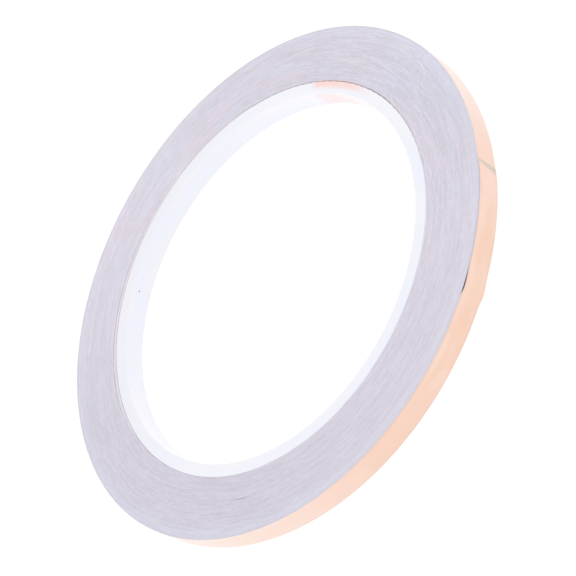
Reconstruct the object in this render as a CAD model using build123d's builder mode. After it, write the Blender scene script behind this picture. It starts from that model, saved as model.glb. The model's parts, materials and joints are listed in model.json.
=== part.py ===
"""Copper foil tape roll: a strip of copper foil, acrylic adhesive and release liner on a plastic core.

The roll lies flat with its axis on +Z and its lower side face on z = 0. The strip winds outwards
anticlockwise seen from +Z, and its square-cut free end lies on the +X axis. Millimetres throughout.
"""

import os
from math import degrees

from build123d import *

# ---- driving dimensions -------------------------------------------------------------------
TAPE_WIDTH = 5.0
CORE_BORE_RADIUS = 38.1  # a standard 3 inch core
CORE_WALL = 2.6
CORE_EDGE_ROUND = 0.2

FOIL = 0.032  # 1.25 thousandths of an inch
ADHESIVE = 0.022
LINER = 0.052
TURNS = 112  # about 33 m of tape

TAIL_ANGLE = 29.0  # free end of the strip that lifts, in degrees of arc
TAIL_CLEARANCE = 0.01  # under the lifted plies, and between the liner and what peels off it
ROOT_SLIT = 0.02  # between the fixed and the lifting plies, along the strip

STARTER_FIRST, STARTER_LAST = 44.0, 69.0  # bare foil stuck to the core, in degrees from +X
CLIMB_FIRST = -1.0  # where the second wrap leaves the core to climb over the starter
CLIMB_GAP = 0.25  # the most that the second wrap stands off the core

# ---- worked-out dimensions ----------------------------------------------------------------
WRAP = LINER + ADHESIVE + FOIL  # one turn of the strip
CORE_RADIUS = CORE_BORE_RADIUS + CORE_WALL
LAST_WRAP_RADIUS = CORE_RADIUS + (TURNS - 1) * WRAP  # inner face of the last turn where it begins
TAIL_ROOT = 360.0 - TAIL_ANGLE
LOWER_CENTRE = (WRAP / 2, 0)  # the lower half of each turn is struck from half a wrap along +X
LOWER_GROWTH = WRAP / 2  # and has this much more radius, so that the halves meet tangentially

# depth of each ply's inner face below the strip's outer face
ADHESIVE_START = LINER
FOIL_START = LINER + ADHESIVE

os.makedirs("parts", exist_ok=True)


def on_circle(radius, angle):
    """The point at an angle in degrees on a circle about the roll's axis."""
    return Vector(radius, 0).rotate(Axis.Z, angle)


def arc_band(centre, inner_radius, thickness, first_angle, last_angle):
    """The profile of a thin band between two angles."""
    sweep_angle = last_angle - first_angle
    with BuildSketch() as band:
        with BuildLine():
            inner = CenterArc(centre, inner_radius, first_angle, sweep_angle)
            outer = CenterArc(centre, inner_radius + thickness, first_angle, sweep_angle)
            Line(inner @ 0, outer @ 0)
            Line(inner @ 1, outer @ 1)
        make_face()
    return band.sketch


def last_turn(start, thickness):
    """The profile of one ply of the last turn, from under the free end round to the tail's root."""
    inner_radius = LAST_WRAP_RADIUS + start
    with BuildSketch() as turn:
        add(arc_band((0, 0), inner_radius, thickness, 0, 180))
        add(arc_band(LOWER_CENTRE, inner_radius + LOWER_GROWTH, thickness, 180, TAIL_ROOT))
    return turn.sketch


def tail(start, thickness, clearance):
    """The profile of one ply of the free end, from its root to the square cut on the +X axis."""
    inner_radius = LAST_WRAP_RADIUS + LOWER_GROWTH + start + clearance
    slit_angle = degrees(ROOT_SLIT / inner_radius)
    return arc_band(LOWER_CENTRE, inner_radius, thickness, TAIL_ROOT + slit_angle, 360)


# ---- core ---------------------------------------------------------------------------------
# Moulded plastic ring, as wide as the tape, with its four rims lightly rounded.
with BuildPart() as core_ring:
    with BuildSketch(Plane.XY):
        Circle(CORE_RADIUS)
        Circle(CORE_BORE_RADIUS, mode=Mode.SUBTRACT)
    extrude(amount=TAPE_WIDTH)
    fillet(core_ring.edges().filter_by(GeomType.CIRCLE), CORE_EDGE_ROUND)
core_ring.part.label = "core_ring"
export_step(core_ring.part, "parts/core_ring.step")

# ---- starter ------------------------------------------------------------------------------
# The first stretch of the strip has its liner stripped off, so that its adhesive holds the core.
with BuildPart() as starter_adhesive:
    with BuildSketch(Plane.XY):
        add(arc_band((0, 0), CORE_RADIUS, ADHESIVE, STARTER_FIRST, STARTER_LAST))
    extrude(amount=TAPE_WIDTH)
starter_adhesive.part.label = "starter_adhesive"
export_step(starter_adhesive.part, "parts/starter_adhesive.step")

with BuildPart() as starter_foil:
    with BuildSketch(Plane.XY):
        add(arc_band((0, 0), CORE_RADIUS + ADHESIVE, FOIL, STARTER_FIRST, STARTER_LAST))
    extrude(amount=TAPE_WIDTH)
starter_foil.part.label = "starter_foil"
export_step(starter_foil.part, "parts/starter_foil.step")

# ---- wound pack ---------------------------------------------------------------------------
# All turns but the last, wound tight. Its outer face is one turn of the spiral, with a step one
# wrap high under the free end, and its inner face stands off the core where it climbs the starter.
with BuildPart() as wound_pack:
    with BuildSketch(Plane.XY):
        with BuildLine():
            upper = CenterArc((0, 0), LAST_WRAP_RADIUS, 0, 180)
            lower = CenterArc(LOWER_CENTRE, LAST_WRAP_RADIUS + LOWER_GROWTH, 180, 180)
            Line(lower @ 1, upper @ 0)
        make_face()
        Circle(CORE_RADIUS, mode=Mode.SUBTRACT)
        with BuildLine():
            ThreePointArc(
                on_circle(CORE_RADIUS, CLIMB_FIRST),
                on_circle(CORE_RADIUS + CLIMB_GAP / 2, (CLIMB_FIRST + STARTER_FIRST) / 2),
                on_circle(CORE_RADIUS + CLIMB_GAP, STARTER_FIRST),
            )
            over = CenterArc(
                (0, 0), CORE_RADIUS + CLIMB_GAP, STARTER_FIRST, STARTER_LAST - STARTER_FIRST
            )
            core_side = CenterArc((0, 0), CORE_RADIUS, CLIMB_FIRST, STARTER_LAST - CLIMB_FIRST)
            Line(over @ 1, core_side @ 1)
        make_face(mode=Mode.SUBTRACT)
    extrude(amount=TAPE_WIDTH)
wound_pack.part.label = "wound_pack"
export_step(wound_pack.part, "parts/wound_pack.step")

# ---- last turn ----------------------------------------------------------------------------
# The three plies of the outermost turn, liner inside and foil outside.
with BuildPart() as outer_liner:
    with BuildSketch(Plane.XY):
        add(last_turn(0, LINER))
    extrude(amount=TAPE_WIDTH)
outer_liner.part.label = "outer_liner"
export_step(outer_liner.part, "parts/outer_liner.step")

with BuildPart() as outer_adhesive:
    with BuildSketch(Plane.XY):
        add(last_turn(ADHESIVE_START, ADHESIVE))
    extrude(amount=TAPE_WIDTH)
outer_adhesive.part.label = "outer_adhesive"
export_step(outer_adhesive.part, "parts/outer_adhesive.step")

with BuildPart() as outer_foil:
    with BuildSketch(Plane.XY):
        add(last_turn(FOIL_START, FOIL))
    extrude(amount=TAPE_WIDTH)
outer_foil.part.label = "outer_foil"
export_step(outer_foil.part, "parts/outer_foil.step")

# ---- free end -----------------------------------------------------------------------------
# The last stretch lifts off the roll, and its foil and adhesive peel off its liner. Both bends
# are at the root, along the foil's outer face, so that the plies never cut into each other.
with BuildPart() as tail_liner:
    with BuildSketch(Plane.XY):
        add(tail(0, LINER, TAIL_CLEARANCE))
    extrude(amount=TAPE_WIDTH)
tail_liner.part.label = "tail_liner"
export_step(tail_liner.part, "parts/tail_liner.step")

with BuildPart() as tail_adhesive:
    with BuildSketch(Plane.XY):
        add(tail(ADHESIVE_START, ADHESIVE, 2 * TAIL_CLEARANCE))
    extrude(amount=TAPE_WIDTH)
tail_adhesive.part.label = "tail_adhesive"
export_step(tail_adhesive.part, "parts/tail_adhesive.step")

with BuildPart() as tail_foil:
    with BuildSketch(Plane.XY):
        add(tail(FOIL_START, FOIL, 2 * TAIL_CLEARANCE))
    extrude(amount=TAPE_WIDTH)
tail_foil.part.label = "tail_foil"
export_step(tail_foil.part, "parts/tail_foil.step")

# ---- hinge line, for the record of the joints ---------------------------------------------
HINGE_RADIUS = LAST_WRAP_RADIUS + LOWER_GROWTH + WRAP + 2 * TAIL_CLEARANCE
hinge = Vector(*LOWER_CENTRE) + on_circle(HINGE_RADIUS, TAIL_ROOT)
print(f"hinge line at x {hinge.X:.4f}, y {hinge.Y:.4f}")
print(f"outermost radius {LAST_WRAP_RADIUS + 2 * WRAP + 2 * TAIL_CLEARANCE:.3f}")
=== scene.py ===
"""Looks of the copper foil tape roll, whose strip is wound ply by ply round its core.

Metres, in the roll's own frame: axis on +Z, lower side face on z = 0, the strip's free end on +X.
"""

import json
from math import atan2, cos, degrees, pi, radians, sin, tau

import bpy
import numpy as np
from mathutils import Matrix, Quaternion, Vector


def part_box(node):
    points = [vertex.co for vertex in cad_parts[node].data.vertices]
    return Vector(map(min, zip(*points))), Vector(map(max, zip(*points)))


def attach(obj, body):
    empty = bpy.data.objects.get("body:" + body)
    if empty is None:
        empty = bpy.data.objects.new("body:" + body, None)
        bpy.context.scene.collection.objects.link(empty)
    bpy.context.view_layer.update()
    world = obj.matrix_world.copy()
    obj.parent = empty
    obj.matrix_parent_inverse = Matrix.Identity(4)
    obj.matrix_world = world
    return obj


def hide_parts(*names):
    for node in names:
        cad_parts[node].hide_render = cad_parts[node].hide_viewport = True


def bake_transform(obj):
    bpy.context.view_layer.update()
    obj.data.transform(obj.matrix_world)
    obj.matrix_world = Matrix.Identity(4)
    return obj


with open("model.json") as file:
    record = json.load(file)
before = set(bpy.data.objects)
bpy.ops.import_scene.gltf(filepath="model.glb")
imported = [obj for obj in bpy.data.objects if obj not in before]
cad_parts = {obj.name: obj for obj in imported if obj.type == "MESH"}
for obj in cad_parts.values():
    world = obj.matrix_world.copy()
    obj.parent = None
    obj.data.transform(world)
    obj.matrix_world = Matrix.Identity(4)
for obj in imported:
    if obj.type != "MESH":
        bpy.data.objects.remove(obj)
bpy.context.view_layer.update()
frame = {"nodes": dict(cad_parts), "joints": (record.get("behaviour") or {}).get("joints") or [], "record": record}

# ---- Camera -------------------------------------------------------------------------------
# A long lens looks down on the near side of the roll from 39 degrees up, tilted well over, so that
# the roll seems to stand on its edge.
LENS = 115.45  # millimetres, for Blender's own 36 mm sensor
VIEW_AZIMUTH, VIEW_ELEVATION, VIEW_TILT = radians(46.85), radians(39.17), radians(-61.47)
VIEW_DISTANCE = 0.3454
VIEW_AIM = Vector((0.00687, -0.00641, 0.005))

towards_camera = Vector((0, -1, 0))
towards_camera.rotate(Quaternion((1, 0, 0), -VIEW_ELEVATION))
towards_camera.rotate(Quaternion((0, 0, 1), VIEW_AZIMUTH))

camera = bpy.data.objects.new("camera", bpy.data.cameras.new("camera"))
camera.data.lens = LENS
camera.data.clip_start = 0.01
camera.location = VIEW_AIM + towards_camera * VIEW_DISTANCE
camera.rotation_mode = "QUATERNION"
camera.rotation_quaternion = (-towards_camera).to_track_quat("-Z", "Y") @ Quaternion((0, 0, 1), VIEW_TILT)
bpy.context.scene.collection.objects.link(camera)
bpy.context.scene.camera = camera

# ---- Core ---------------------------------------------------------------------------------
# A moulded ring of white, glossy, slightly translucent plastic, as wide as the tape. The bare copper
# that is stuck round it shows through it as a pink patch, a painted glow in the plastic's colour.
CORE_WHITE, CORE_BLUISH = (0.89, 0.885, 0.93), (0.86, 0.875, 0.96)
# painted glow: the copper's light through the plastic, painted as pink into its colour
PAINTED_COPPER_GLOW = (0.94, 0.68, 0.64)
STARTER_FIRST, STARTER_LAST = 44, 69  # the strip's bare start on the core, in degrees from +X
GLOW_REACH, GLOW_FADE = 0.0021, 0.0013  # how far into the core's side faces the copper shows
BORE_GLOW = 0.6  # the copper's share in the bore, where it shows through the whole wall
SPECK = (0.16, 0.16, 0.18)  # a grain of dirt in the bore
SPECK_ANGLE, SPECK_HEIGHT, SPECK_SIZE = radians(160.4), 0.0032, 0.00016
# painted shade: a darker line round the core's outer rim and a darker face, towards one side
SHADED_RIM = (0.80, 0.79, 0.86)
SHADED_RIM_SIDE = (cos(radians(165)), sin(radians(165)), 0)  # where the painted shade on the core's rim and face is deepest
RIDGE_IN = 0.0006  # from the core's outside to the middle of its painted shaded rim line

mounts = {mount["name"]: mount for mount in frame["record"]["mounts"]}
bore_radius = mounts["bore"]["dims"]["r_mm"] / 1000
core_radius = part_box("core_ring")[1].x
tape_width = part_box("core_ring")[1].z


def new_finish(name, roughness):
    """A material, the node tree to build its pattern in, and its shader."""
    finish = bpy.data.materials.new(name)
    finish.use_nodes = True
    shader = finish.node_tree.nodes["Principled BSDF"]
    shader.inputs["Roughness"].default_value = roughness
    return finish, finish.node_tree, shader


def add_node(tree, kind, feeds, **settings):
    """A node with its settings. Each of its feeds is another node's output or a plain value."""
    node = tree.nodes.new("ShaderNode" + kind)
    for name, value in settings.items():
        setattr(node, name, value)
    for socket, value in feeds.items():
        if isinstance(value, bpy.types.NodeSocket):
            tree.links.new(value, node.inputs[socket])
        else:
            node.inputs[socket].default_value = value
    return node


def sum_up(tree, operation, *values):
    """A sum, product or other arithmetic on numbers that vary over the surface."""
    return add_node(tree, "Math", dict(enumerate(values)), operation=operation).outputs[0]


def fade(tree, value, start, end):
    """0 before start and 1 past end, smoothly between them. It falls instead where end is below start."""
    low, high = sorted((start, end))
    ends = {"To Min": float(end < start), "To Max": float(end > start)}
    feeds = {"Value": value, "From Min": low, "From Max": high, **ends}
    return add_node(tree, "MapRange", feeds, interpolation_type="SMOOTHSTEP").outputs["Result"]


def mix_colours(tree, share, first, second):
    """From the first colour to the second as share goes from 0 to 1."""
    mix = tree.nodes.new("ShaderNodeMix")
    mix.data_type = "RGBA"
    sockets = [socket for socket in mix.inputs if socket.enabled]
    for socket, value in zip(sockets, (share, first, second)):
        if isinstance(value, bpy.types.NodeSocket):
            tree.links.new(value, socket)
        else:
            socket.default_value = (*value, 1) if isinstance(value, tuple) else value
    return next(socket for socket in mix.outputs if socket.enabled)


def roll_places(tree):
    """Distance from the roll's axis, height, angle from +X in degrees, and the direction from the axis."""
    place = add_node(tree, "TexCoord", {}).outputs["Object"]
    level = add_node(tree, "VectorMath", {0: place, 1: (1, 1, 0)}, operation="MULTIPLY").outputs[0]
    distance = add_node(tree, "VectorMath", {0: level}, operation="LENGTH").outputs["Value"]
    heading = add_node(tree, "VectorMath", {0: level}, operation="NORMALIZE").outputs[0]
    x, y, height = add_node(tree, "SeparateXYZ", {0: place}).outputs
    angle = sum_up(tree, "DEGREES", sum_up(tree, "ARCTAN2", y, x))
    return distance, height, angle, heading


def towards(tree, heading, side):
    """1 in the direction of side from the roll's axis, 0 square to it, and -1 opposite."""
    feeds = {0: heading, 1: side}
    return add_node(tree, "VectorMath", feeds, operation="DOT_PRODUCT").outputs["Value"]


def wound_noise(tree, arc, breadth, detail=2.0, seed=0.0):
    """Noise in patches that run round the roll: arc long, in radians, and breadth across the strip."""
    distance, height, _, heading = roll_places(tree)
    across = sum_up(tree, "DIVIDE", sum_up(tree, "ADD", distance, height), breadth)
    sideways = add_node(tree, "CombineXYZ", {"X": seed, "Y": seed, "Z": across}).outputs[0]
    around = add_node(tree, "VectorMath", {0: heading, "Scale": 1 / arc}, operation="SCALE").outputs[0]
    spot = add_node(tree, "VectorMath", {0: around, 1: sideways}).outputs[0]
    return add_node(tree, "TexNoise", {"Vector": spot, "Scale": 1.0, "Detail": detail}).outputs["Fac"]


core_finish, tree, shader = new_finish("moulded white plastic", 0.22)
distance, height, angle, heading = roll_places(tree)
cloud = fade(tree, wound_noise(tree, 0.5, 0.004), 0.35, 0.65)
white = mix_colours(tree, cloud, CORE_WHITE, CORE_BLUISH)
uneven = fade(tree, wound_noise(tree, 0.07, 0.0009, 2.0, seed=6.0), 0.15, 0.5)
after_start = fade(tree, angle, STARTER_FIRST - 5, STARTER_FIRST + 11)
before_liner = fade(tree, angle, STARTER_LAST - 0.4, STARTER_LAST - 4)
behind = sum_up(tree, "MULTIPLY", sum_up(tree, "MULTIPLY", after_start, before_liner), uneven)
on_face = fade(tree, distance, core_radius - GLOW_REACH, core_radius - GLOW_REACH + GLOW_FADE)
from_middle = sum_up(tree, "ABSOLUTE", sum_up(tree, "SUBTRACT", height, tape_width / 2))
wall = fade(tree, distance, bore_radius + 0.0003, bore_radius)
in_bore = sum_up(tree, "MULTIPLY", fade(tree, from_middle, 0.0025, 0.0015), wall)
shown = sum_up(tree, "MAXIMUM", on_face, sum_up(tree, "MULTIPLY", in_bore, BORE_GLOW))
# painted glow of the copper through the core's faces and bore wall
glow = sum_up(tree, "MULTIPLY", behind, shown)
white = mix_colours(tree, glow, white, PAINTED_COPPER_GLOW)
# painted shade: the core's rim line and face darker towards one side
turned = towards(tree, heading, SHADED_RIM_SIDE)
rim = fade(tree, distance, core_radius - RIDGE_IN - 0.0001, core_radius - RIDGE_IN + 0.0001)
from_ridge = sum_up(tree, "ABSOLUTE", sum_up(tree, "SUBTRACT", distance, core_radius - RIDGE_IN))
ridge = fade(tree, from_ridge, 0.0003, 0.0)
rim = sum_up(tree, "ADD", sum_up(tree, "MULTIPLY", rim, 0.5), sum_up(tree, "MULTIPLY", ridge, 0.5))
rim = sum_up(tree, "MULTIPLY", rim, fade(tree, turned, 0.6, 0.85))
shaded_face = sum_up(tree, "MULTIPLY", fade(tree, turned, 0.0, 1.0), sum_up(tree, "SUBTRACT", 0.5, wall))
white = mix_colours(tree, sum_up(tree, "MAXIMUM", rim, shaded_face), white, SHADED_RIM)
speck_place = (bore_radius * cos(SPECK_ANGLE), bore_radius * sin(SPECK_ANGLE), SPECK_HEIGHT)
place = add_node(tree, "TexCoord", {}).outputs["Object"]
away = add_node(tree, "VectorMath", {0: place, 1: speck_place}, operation="DISTANCE").outputs["Value"]
speckled = mix_colours(tree, fade(tree, away, SPECK_SIZE * 1.4, SPECK_SIZE * 0.6), white, SPECK)
tree.links.new(speckled, shader.inputs["Base Color"])
shader.inputs["Coat Weight"].default_value = 0.3
shader.inputs["Coat Roughness"].default_value = 0.08

frame["nodes"]["core_ring"].data.materials.clear()
frame["nodes"]["core_ring"].data.materials.append(core_finish)

# ---- Release liner ------------------------------------------------------------------------
# The ply next to the core in every wrap: a ribbon of silicone-coated paper that keeps the adhesive off
# the foil below. It begins behind the core's copper patch, and its slit edges give the side faces
# their lilac grey.
STATIONS = 180  # corners in one turn of the winding
AIR = 0.99  # share of the strip's room that its plies fill, the rest being air between wraps
CLIMB = 0.00006  # the second wrap's standing height over the core, where it passes the bare start
INNER_WRAPS = 5  # wraps that are wound loosely on one side of the core
INNER_GAP, INNER_GAP_BEHIND = 0.00002, 0.00008  # how far they stand off there, and those over them
LOOSE_FIRST, LOOSE_LAST = 118, 210  # the loose side, in degrees from +X
LOOSE_FADE_IN, LOOSE_FADE_OUT = 22, 20
SUNK_WRAPS, SUNK_DEPTH = (5, 6), 0.00006  # wraps whose upper edge lies low on the same side
START_FADE = 6  # degrees past the bare start in which the second wrap climbs the rest of the way
LAST_TURN_GAP = 0.00001  # the last turn's looseness
SIDE_WANDER = 0.000008  # how far a wrap strays sideways
WANDER_STEP = 0.35  # in turns
NICK_TURN, NICK_HALF_LENGTH = 46.727, 0.008  # a nick in one wrap's upper edge, in turns
NICK_DEPTH = 0.00017
PAPER_EDGE_PINK, PAPER_EDGE_BLUE = (0.85, 0.76, 0.90), (0.77, 0.81, 0.98)
PAPER_EDGE_GREY, PAPER_EDGE_SHADED = (0.81, 0.80, 0.86), (0.73, 0.72, 0.85)
PAPER_EDGE_RIM, PAPER_EDGE_LIT = (0.70, 0.70, 0.79), (0.88, 0.86, 0.97)
SCUFF_AND_SHEEN_SHADE = (0.57, 0.545, 0.63)
LIT_INNER_SIDE = (cos(radians(165)), sin(radians(165)), 0)  # where the innermost wraps carry a painted highlight
PAINTED_SHEEN_LINE = (cos(radians(53)), sin(radians(53)), 0)  # the side faces are painted darker towards both its ends, where their painted sheen is weakest
SHADED_SIDE = (cos(radians(-95)), sin(radians(-95)), 0)  # where the painted shade on the side faces is deepest
PAPER_FACE, PAPER_FACE_DARK = (0.74, 0.62, 0.545), (0.69, 0.57, 0.49)

pack_low, pack_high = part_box("wound_pack")
wrap = pack_high.x + pack_low.x  # the pack's +X side is one wrap further out than its -X side
last_turn_radius = -pack_low.x
turns = round((last_turn_radius - core_radius) / wrap) + 1
liner_depth = 0
adhesive_depth = -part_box("outer_liner")[0].x - last_turn_radius
foil_depth = -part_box("outer_adhesive")[0].x - last_turn_radius
root = Vector(frame["joints"][0]["pos_m"])
root_angle = degrees(atan2(root.y, root.x - wrap / 2)) % 360
tail_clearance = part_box("tail_liner")[1].x - last_turn_radius - wrap - adhesive_depth
first_turn, last_turn, tail_turn = STARTER_FIRST / 360, turns - 1, turns - 1 + root_angle / 360


def eased(share):
    """0 to 1, with a gentle start and end."""
    share = np.clip(share, 0, 1)
    return share * share * (3 - 2 * share)


def loose_side(angle):
    """1 where the innermost wraps are loosely wound, and 0 elsewhere, by degrees from +X."""
    return eased((angle - LOOSE_FIRST) / LOOSE_FADE_IN) * eased((LOOSE_LAST - angle) / LOOSE_FADE_OUT)


def standing_off(turn):
    """How far the strip stands off an evenly tight spiral, at a count of turns from the core."""
    wraps, angle = np.floor(turn), turn % 1 * 360
    corners = (0, STARTER_FIRST, STARTER_LAST, STARTER_LAST + START_FADE)
    over_start = np.interp(angle, corners, (-wrap, CLIMB - wrap, CLIMB - wrap, 0))
    on_core = np.where(angle < 180, 0, -wrap * (1 + np.cos(np.radians(angle))) / 2)
    loose = np.where(wraps < INNER_WRAPS, INNER_GAP, INNER_GAP_BEHIND) * loose_side(angle)
    inner = np.where((wraps > 0) & (angle < 180), over_start, on_core) + loose
    outer = np.where(turn < last_turn, turn / last_turn, 1 - eased((turn - last_turn) * 8))
    return inner * (1 - turn / turns) - LAST_TURN_GAP * outer


wander_knots = np.random.default_rng(5).uniform(-1, 1, int(turns / WANDER_STEP) + 3)


def sideways(turn):
    """The strip's drift along the axis as it was wound, which leaves fine rings on the side faces."""
    return SIDE_WANDER * np.interp(turn / WANDER_STEP, np.arange(len(wander_knots)), wander_knots)


def wound_points(turn, height, depth):
    """Places on the strip, from a count of turns, a height and a distance out from its inner face."""
    turn, height, depth = np.broadcast_arrays(turn, height, depth)
    angle = turn % 1 * tau
    lower_half = angle > pi
    centre = np.where(lower_half, wrap / 2, 0)
    radius = core_radius + np.floor(turn) * wrap + centre + depth
    return np.stack((centre + radius * np.cos(angle), radius * np.sin(angle), height), axis=-1)


def closed_ribbon(name, inner, outer):
    """A closed mesh between two grids of points, with rows round the roll and columns across the strip."""
    rings = np.concatenate((outer, inner[:, ::-1]), axis=1)
    count, corners, _ = rings.shape
    corner = np.arange(corners)
    here = np.arange(count - 1)[:, None] * corners
    beside = (corner + 1) % corners
    ahead = here + corners
    walls = np.stack((ahead + corner, ahead + beside, here + beside, here + corner), axis=-1)
    edge = np.arange(corners // 2 - 1)
    start = np.stack((edge, edge + 1, corners - 2 - edge, corners - 1 - edge), axis=-1)
    end = start[:, ::-1] + (count - 1) * corners
    faces = np.concatenate((walls.reshape(-1, 4), start, end))
    mesh = bpy.data.meshes.new(name)
    mesh.from_pydata(rings.reshape(-1, 3), [], faces.tolist())
    mesh.shade_smooth()
    mesh.set_sharp_from_angle(angle=radians(40))
    ribbon = bpy.data.objects.new(name, mesh)
    bpy.context.scene.collection.objects.link(ribbon)
    return ribbon


def stations(first, last, per_turn):
    """Counts of turns from first to last, on the same angles in every turn so that the wraps nest."""
    between = np.arange(np.ceil(first * per_turn + 0.5), np.floor(last * per_turn - 0.5) + 1) / per_turn
    return np.concatenate(([first], between, [last]))


def wound_ply(name, first, last, depth, thickness, set_in=0.0):
    """One ply of the wound strip, as a closed ribbon. It may be set in from the strip's slit edges."""
    turn = stations(first, last, STATIONS)[:, None]
    strip_in = SIDE_WANDER + set_in
    nick = NICK_DEPTH * np.clip(1 - np.abs(turn - NICK_TURN) / NICK_HALF_LENGTH, 0, 1)
    sunk = SUNK_DEPTH * loose_side(turn % 1 * 360) * np.isin(np.floor(turn), SUNK_WRAPS)
    top = tape_width - strip_in - nick - sunk
    height = sideways(turn) + np.concatenate((0 * nick + strip_in, top), axis=1)
    inner = wound_points(turn, height, depth + standing_off(turn))
    outer = wound_points(turn, height, depth + thickness * AIR + standing_off(turn))
    return closed_ribbon(name, inner, outer)


def slit_edge_share(tree):
    """1 on the strip's slit edges, and 0 on its two faces."""
    normal = add_node(tree, "NewGeometry", {}).outputs["Normal"]
    upward = add_node(tree, "SeparateXYZ", {0: normal}).outputs["Z"]
    return fade(tree, sum_up(tree, "ABSOLUTE", upward), 0.6, 0.8)


def scuffed_and_sheen_shaded(tree, edges):
    """The colour of slit edges under the streaks of wear that run over all the plies of a side face, and under a
    painted sheen that is weakest towards both ends of one line.
    """
    _, _, _, heading = roll_places(tree)
    lines = fade(tree, wound_noise(tree, 0.15, 0.00040, 2.0, seed=3.0), 0.62, 0.38)
    grain = fade(tree, wound_noise(tree, 0.030, 0.00026, 3.0, seed=15.0), 0.64, 0.36)
    along = towards(tree, heading, PAINTED_SHEEN_LINE)
    # painted sheen: darker towards both ends of one line across the roll
    painted_sheen_loss = sum_up(tree, "MULTIPLY", fade(tree, sum_up(tree, "ABSOLUTE", along), 0.3, 1.0), 0.25)
    marks = sum_up(tree, "MULTIPLY", sum_up(tree, "ADD", lines, grain), 0.26)
    return mix_colours(tree, sum_up(tree, "ADD", marks, painted_sheen_loss), edges, SCUFF_AND_SHEEN_SHADE)


paper, tree, shader = new_finish("silicone-coated paper", 0.55)
patches = fade(tree, wound_noise(tree, 0.16, 0.0016, 3.0), 0.38, 0.62)
hues = fade(tree, wound_noise(tree, 0.35, 0.0030, 2.0, seed=7.0), 0.40, 0.60)
edges = mix_colours(tree, patches, PAPER_EDGE_PINK, PAPER_EDGE_GREY)
edges = mix_colours(tree, hues, edges, PAPER_EDGE_BLUE)
distance, _, _, heading = roll_places(tree)
# painted shade: the side faces darker towards one side
shaded_side_share = towards(tree, heading, SHADED_SIDE)
edges = mix_colours(tree, fade(tree, shaded_side_share, -1.0, 1.1), edges, PAPER_EDGE_SHADED)
edges = scuffed_and_sheen_shaded(tree, edges)
# painted highlight on the innermost wraps' edges towards one side
towards_lit_side = towards(tree, heading, LIT_INNER_SIDE)
inmost = fade(tree, distance, core_radius + 0.0006, core_radius + 0.0004)
lit_inmost = sum_up(tree, "MULTIPLY", inmost, fade(tree, towards_lit_side, 0.6, 0.85))
edges = mix_colours(tree, lit_inmost, edges, PAPER_EDGE_LIT)
bluer = fade(tree, distance, last_turn_radius - 0.003, last_turn_radius)
edges = mix_colours(tree, sum_up(tree, "MULTIPLY", bluer, 0.6), edges, PAPER_EDGE_BLUE)
rim = fade(tree, distance, last_turn_radius - 0.0006, last_turn_radius - 0.0001)
edges = mix_colours(tree, rim, edges, PAPER_EDGE_RIM)
fibres = wound_noise(tree, 0.02, 0.0004, 3.0, seed=11.0)
faces = mix_colours(tree, fibres, PAPER_FACE, PAPER_FACE_DARK)
tree.links.new(mix_colours(tree, slit_edge_share(tree), faces, edges), shader.inputs["Base Color"])
shader.inputs["Specular IOR Level"].default_value = 0.35

liner = wound_ply("wound_liner", STARTER_LAST / 360, last_turn, liner_depth, adhesive_depth)
liner.data.materials.append(paper)
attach(liner, "roll")
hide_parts("wound_pack")

last_turn_liner = wound_ply("last_turn_liner", last_turn, tail_turn, liner_depth, adhesive_depth)
last_turn_liner.data.materials.append(paper)
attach(last_turn_liner, "roll")
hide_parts("outer_liner")

# ---- Loose fibre --------------------------------------------------------------------------
# A paper fibre pulled out of the liner's slit edge. It lies loose across the outer half of the upper
# face, as a thread with a separate curl beside it.
FIBRE_THICKNESS = 0.00011
FIBRE_WHITE, FIBRE_GREY = (0.97, 0.95, 1.0), (0.86, 0.84, 0.92)
FIBRE_PATH = (  # millimetres from the roll's axis along X and Y
    (41.6, 21.8), (42.0, 22.6), (42.4, 23.1), (43.0, 23.8),
    (42.6, 25.1), (42.2, 26.7), (41.4, 28.4), (40.9, 30.0),
)
FIBRE_CURL = ((40.9, 33.0), (42.2, 31.4), (43.6, 29.7), (44.3, 28.4), (43.9, 27.4), (42.8, 27.3))

fluff, tree, shader = new_finish("paper fibre", 0.8)
matted = wound_noise(tree, 0.006, 0.0003, 2.0, seed=13.0)
tree.links.new(mix_colours(tree, matted, FIBRE_WHITE, FIBRE_GREY), shader.inputs["Base Color"])

for name, path in (("fibre", FIBRE_PATH), ("fibre_curl", FIBRE_CURL)):
    line = bpy.data.curves.new(name, "CURVE")
    line.dimensions = "3D"
    line.bevel_depth = FIBRE_THICKNESS / 2
    line.bevel_resolution = 2
    line.use_fill_caps = True
    spline = line.splines.new("NURBS")
    spline.points.add(len(path) - 1)
    for point, (x, y) in zip(spline.points, path):
        point.co = (x / 1000, y / 1000, tape_width, 1)
        point.radius = 1 if (x, y) not in (path[0], path[-1]) else 0.4
    spline.order_u = 3
    spline.use_endpoint_u = True
    fibre = bpy.data.objects.new(name, line)
    bpy.context.scene.collection.objects.link(fibre)
    line.materials.append(fluff)
    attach(fibre, "roll")

# ---- Adhesive -----------------------------------------------------------------------------
# A clear acrylic film, coated on the foil's inner face and set in a hair from its slit edges. At the
# start of the strip it is stuck to the core.
ADHESIVE_SET_IN = 0.000006
ADHESIVE_CLEAR, ADHESIVE_CLOUDY = (0.84, 0.62, 0.50), (0.80, 0.66, 0.57)
ADHESIVE_EDGE = (0.75, 0.73, 0.82)
STEP_DOWN = 2  # degrees over which the strip steps between the core and the liner's start
STEP_STATIONS = 20  # stations from the strip's start that reach past the step, of four corners each

acrylic, tree, shader = new_finish("clear acrylic on copper", 0.18)
cloudy = fade(tree, wound_noise(tree, 0.03, 0.0012, 3.0, seed=2.0), 0.45, 0.7)
film = mix_colours(tree, cloudy, ADHESIVE_CLEAR, ADHESIVE_CLOUDY)
slit_edges = scuffed_and_sheen_shaded(tree, ADHESIVE_EDGE)
tree.links.new(mix_colours(tree, slit_edge_share(tree), film, slit_edges), shader.inputs["Base Color"])


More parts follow.
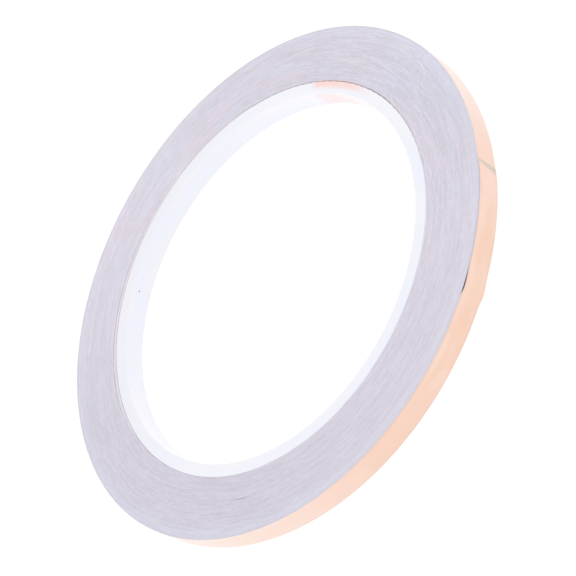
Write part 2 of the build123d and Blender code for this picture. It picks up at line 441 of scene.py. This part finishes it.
def foil_side_ply(name, first, last, depth, thickness, set_in=0.0):
    """A ply that goes on under the liner's start, down to the core, where it is the strip's bare start."""
    ply = wound_ply(name, first, last, depth, thickness, set_in)
    step_down = radians(STARTER_LAST - STEP_DOWN), radians(STARTER_LAST)
    for vertex in ply.data.vertices[: 4 * STEP_STATIONS]:
        bearing = atan2(vertex.co.y, vertex.co.x)
        lifted = eased((bearing - step_down[0]) / (step_down[1] - step_down[0]))
        level = Vector((vertex.co.x, vertex.co.y, 0))
        vertex.co -= level.normalized() * adhesive_depth * (1 - lifted)
    return ply


adhesive = foil_side_ply(
    "wound_adhesive", first_turn, last_turn, adhesive_depth, foil_depth - adhesive_depth, ADHESIVE_SET_IN
)
adhesive.data.materials.append(acrylic)
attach(adhesive, "roll")
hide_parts("starter_adhesive")

last_turn_adhesive = wound_ply(
    "last_turn_adhesive", last_turn, tail_turn, adhesive_depth, foil_depth - adhesive_depth, ADHESIVE_SET_IN
)
last_turn_adhesive.data.materials.append(acrylic)
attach(last_turn_adhesive, "roll")
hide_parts("outer_adhesive")

# ---- Copper foil --------------------------------------------------------------------------
# Annealed copper, rolled thin, with faint rolling lines along the strip. It is the outer ply of every
# wrap, so the last turn of it is the roll's rim.
COPPER, COPPER_PALE, COPPER_WARM = (0.90, 0.625, 0.50), (0.91, 0.66, 0.55), (0.89, 0.60, 0.46)
COPPER_EDGE, COPPER_SMUDGE_AND_SHADE = (0.80, 0.75, 0.84), (0.76, 0.52, 0.41)
COPPER_REFLECTION, COPPER_EDGE_HIGHLIGHT = (0.92, 0.72, 0.63), (0.97, 0.85, 0.81)  # painted reflection on the face and painted highlight along its edges, away from the shaded side
SHADED_COPPER_SIDE = (cos(radians(-32)), sin(radians(-32)), 0)
FINE_STATIONS = 360  # corners in the last turn, whose face is seen
ACROSS = 0.5 - 0.5 * np.cos(np.linspace(0, pi, 13))  # columns of points across the last turn's foil
EDGE_CURL = 0.000016  # the slit edges' turn inwards
RIPPLE = 0.000006

copper, tree, shader = new_finish("rolled copper", 0.34)
pale = fade(tree, wound_noise(tree, 0.25, 0.0050, 2.0, seed=5.0), 0.40, 0.65)
warm = fade(tree, wound_noise(tree, 0.18, 0.0030, 2.0, seed=9.0), 0.50, 0.70)
smudge = fade(tree, wound_noise(tree, 0.03, 0.0011, 3.0, seed=4.0), 0.68, 0.80)
skin = mix_colours(tree, warm, mix_colours(tree, pale, COPPER, COPPER_PALE), COPPER_WARM)
_, height, _, heading = roll_places(tree)
# painted reflection: the copper paler away from one side and deeper towards it
towards_shaded_copper = towards(tree, heading, SHADED_COPPER_SIDE)
reflecting_light = fade(tree, towards_shaded_copper, 0.92, 0.5)
skin = mix_colours(tree, sum_up(tree, "MULTIPLY", reflecting_light, 0.7), skin, COPPER_REFLECTION)
from_middle = sum_up(tree, "ABSOLUTE", sum_up(tree, "SUBTRACT", height, tape_width / 2))
along_edges = fade(tree, from_middle, tape_width / 2 - 0.0006, tape_width / 2)
# painted shade along the foil's edges towards one side, mixed with smudges all over
edge_shade = sum_up(tree, "MULTIPLY", along_edges, sum_up(tree, "SUBTRACT", 1, reflecting_light))
smudged_and_shaded = sum_up(tree, "MULTIPLY", sum_up(tree, "MAXIMUM", smudge, edge_shade), 0.35)
skin = mix_colours(tree, smudged_and_shaded, skin, COPPER_SMUDGE_AND_SHADE)
# painted highlight along the foil's edges, away from the shaded side
edge_highlight = sum_up(tree, "MULTIPLY", fade(tree, from_middle, tape_width / 2 - 0.0003, tape_width / 2), reflecting_light)
skin = mix_colours(tree, edge_highlight, skin, COPPER_EDGE_HIGHLIGHT)
edge_share = slit_edge_share(tree)
tree.links.new(mix_colours(tree, edge_share, skin, scuffed_and_sheen_shaded(tree, COPPER_EDGE)), shader.inputs["Base Color"])
rolling = wound_noise(tree, 0.5, 0.00006, 2.0, seed=1.0)
rough = sum_up(tree, "MULTIPLY_ADD", rolling, 0.16, 0.26)
tree.links.new(sum_up(tree, "MULTIPLY_ADD", edge_share, 0.25, rough), shader.inputs["Roughness"])
bump = add_node(tree, "Bump", {"Strength": 0.15, "Distance": 0.00001, "Height": rolling})
tree.links.new(bump.outputs["Normal"], shader.inputs["Normal"])
shader.inputs["Metallic"].default_value = 1.0
shader.inputs["Coat Weight"].default_value = 1.0  # an anti-tarnish film
shader.inputs["Coat IOR"].default_value = 1.6
shader.inputs["Coat Roughness"].default_value = 0.3

foil_thickness = wrap - foil_depth
foil = foil_side_ply("wound_foil", first_turn, last_turn, foil_depth, foil_thickness)
foil.data.materials.append(copper)
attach(foil, "roll")
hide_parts("starter_foil")

ripple_source = np.random.default_rng(8)
ripples = []  # waves round the roll, waves across it in radians per metre, and the phase of each ripple
for _ in range(12):
    ripples.append([ripple_source.uniform(low, high) for low, high in ((20, 90), (200, 1500), (0, tau))])


def outer_foil(name, turn, standing):
    """Foil whose outer face is seen: finely divided, faintly rippled, with its slit edges curled inwards."""
    strip_in = SIDE_WANDER
    height = sideways(turn) + strip_in + ACROSS * (tape_width - 2 * strip_in)
    ripple = 0
    for around, across, phase in ripples:
        ripple = ripple + np.sin(turn * tau * round(around) + height * across + phase)
    curl = EDGE_CURL * np.abs(2 * ACROSS - 1) ** 24
    depth = foil_depth + standing - curl + ripple * RIPPLE / len(ripples)
    inner = wound_points(turn, height, depth)
    outer = wound_points(turn, height, depth + foil_thickness * AIR)
    foil = closed_ribbon(name, inner, outer)
    foil.data.materials.append(copper)
    return foil


turn = stations(last_turn, tail_turn, FINE_STATIONS)[:, None]
last_turn_foil = outer_foil("last_turn_foil", turn, standing_off(turn))
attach(last_turn_foil, "roll")
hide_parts("outer_foil")

# ---- Free end -----------------------------------------------------------------------------
# The last 27 mm of the strip isn't stuck down. It stands off a little near its root. Its foil was cut
# askew and ends just short of its liner, whose bare paper shows as a narrow grey wedge.
CUT_BACK_UPPER, CUT_BACK_LOWER = 0.0007, 0.0016  # from the liner's end to the foil's, along the strip
CUT_SLANT_LENGTH = 0.004
TAIL_BULGE = 0.0003
BULGE_RISE, BULGE_END, BULGE_FALL = 1.6, 7.0, 5.5  # its rise, where it ends and its fall, in degrees
BULGE_LEFT = 0.03  # its share that is left from there to the cut


def tail_standing(turn, slips):
    """How far the free end stands off the roll: it bulges near its root, and slips open between its plies."""
    angle = (turn - last_turn) * 360 - root_angle
    fall = BULGE_LEFT + (1 - BULGE_LEFT) * eased((BULGE_END - angle) / BULGE_FALL)
    bulge = TAIL_BULGE * eased(angle / BULGE_RISE) * fall
    return bulge + slips * tail_clearance * eased(angle / 2)


def cut_back(turn, height):
    """The count of turns at a place near the foil's askew cut, drawn back from the liner's end."""
    around = tau * (last_turn_radius + wrap)
    back = CUT_BACK_LOWER + (CUT_BACK_UPPER - CUT_BACK_LOWER) * height / tape_width
    slanted = np.clip((turn - (turns - CUT_SLANT_LENGTH / around)) * around / CUT_SLANT_LENGTH, 0, 1)
    return turn - back / around * slanted


turn = stations(tail_turn + 1e-6, turns, FINE_STATIONS)[:, None]
turn[-1] -= 1e-9  # stays in the last turn
height = sideways(turn) + (SIDE_WANDER, tape_width - SIDE_WANDER)
free_liner = closed_ribbon(
    "free_end_liner",
    wound_points(turn, height, tail_standing(turn, 1)),
    wound_points(turn, height, adhesive_depth * AIR + tail_standing(turn, 1)),
)
free_liner.data.materials.append(paper)
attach(free_liner, "liner_end")
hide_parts("tail_liner")

height = height + (ADHESIVE_SET_IN, -ADHESIVE_SET_IN)
cut = cut_back(turn, height)
free_adhesive = closed_ribbon(
    "free_end_adhesive",
    wound_points(cut, height, adhesive_depth + tail_standing(cut, 2)),
    wound_points(cut, height, foil_depth + tail_standing(cut, 2)),
)
free_adhesive.data.materials.append(acrylic)
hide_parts("tail_adhesive")

cut = cut_back(turn, ACROSS * tape_width)
free_foil = outer_foil("free_end_foil", cut, tail_standing(cut, 2))
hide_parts("tail_foil")

for ply in (free_adhesive, free_foil):
    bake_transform(ply)

# ---- Table and light ----------------------------------------------------------------------
# A plain white table, and a soft white studio all round, a little brighter to both sides of the roll.
TABLE_SIZE = 4.0
STUDIO_WHITE, STUDIO_STRENGTH = (1.0, 1.0, 1.0), 0.97
TABLE_GREY, TABLE_GLOW = (0.12, 0.12, 0.12), 0.92
LIGHT_SIZE, LIGHT_POWER, LIGHT_DISTANCE, LIGHT_HEIGHT = 0.5, 0.5, 0.7, radians(20)

mesh = bpy.data.meshes.new("table")
half = TABLE_SIZE / 2
mesh.from_pydata([(-half, -half, 0), (half, -half, 0), (half, half, 0), (-half, half, 0)], [], [(0, 1, 2, 3)])
table = bpy.data.objects.new("table", mesh)
bpy.context.scene.collection.objects.link(table)
white_table, tree, shader = new_finish("white table", 0.9)
shader.inputs["Base Color"].default_value = (*TABLE_GREY, 1)
shader.inputs["Emission Color"].default_value = (1, 1, 1, 1)
shader.inputs["Emission Strength"].default_value = TABLE_GLOW
mesh.materials.append(white_table)

studio = bpy.data.worlds.new("studio")
studio.use_nodes = True
studio.node_tree.nodes["Background"].inputs["Color"].default_value = (*STUDIO_WHITE, 1)
studio.node_tree.nodes["Background"].inputs["Strength"].default_value = STUDIO_STRENGTH
bpy.context.scene.world = studio
bpy.context.scene.view_settings.view_transform = "Standard"

for name, azimuth in (("left_softbox", 190), ("right_softbox", -65)):
    light = bpy.data.objects.new(name, bpy.data.lights.new(name, "AREA"))
    light.data.size = LIGHT_SIZE
    light.data.energy = LIGHT_POWER
    direction = Vector((0, -1, 0))
    direction.rotate(Quaternion((1, 0, 0), -LIGHT_HEIGHT))
    direction.rotate(Quaternion((0, 0, 1), radians(azimuth)))
    light.location = direction * LIGHT_DISTANCE
    light.rotation_mode = "QUATERNION"
    light.rotation_quaternion = direction.to_track_quat("Z", "Y")
    bpy.context.scene.collection.objects.link(light)
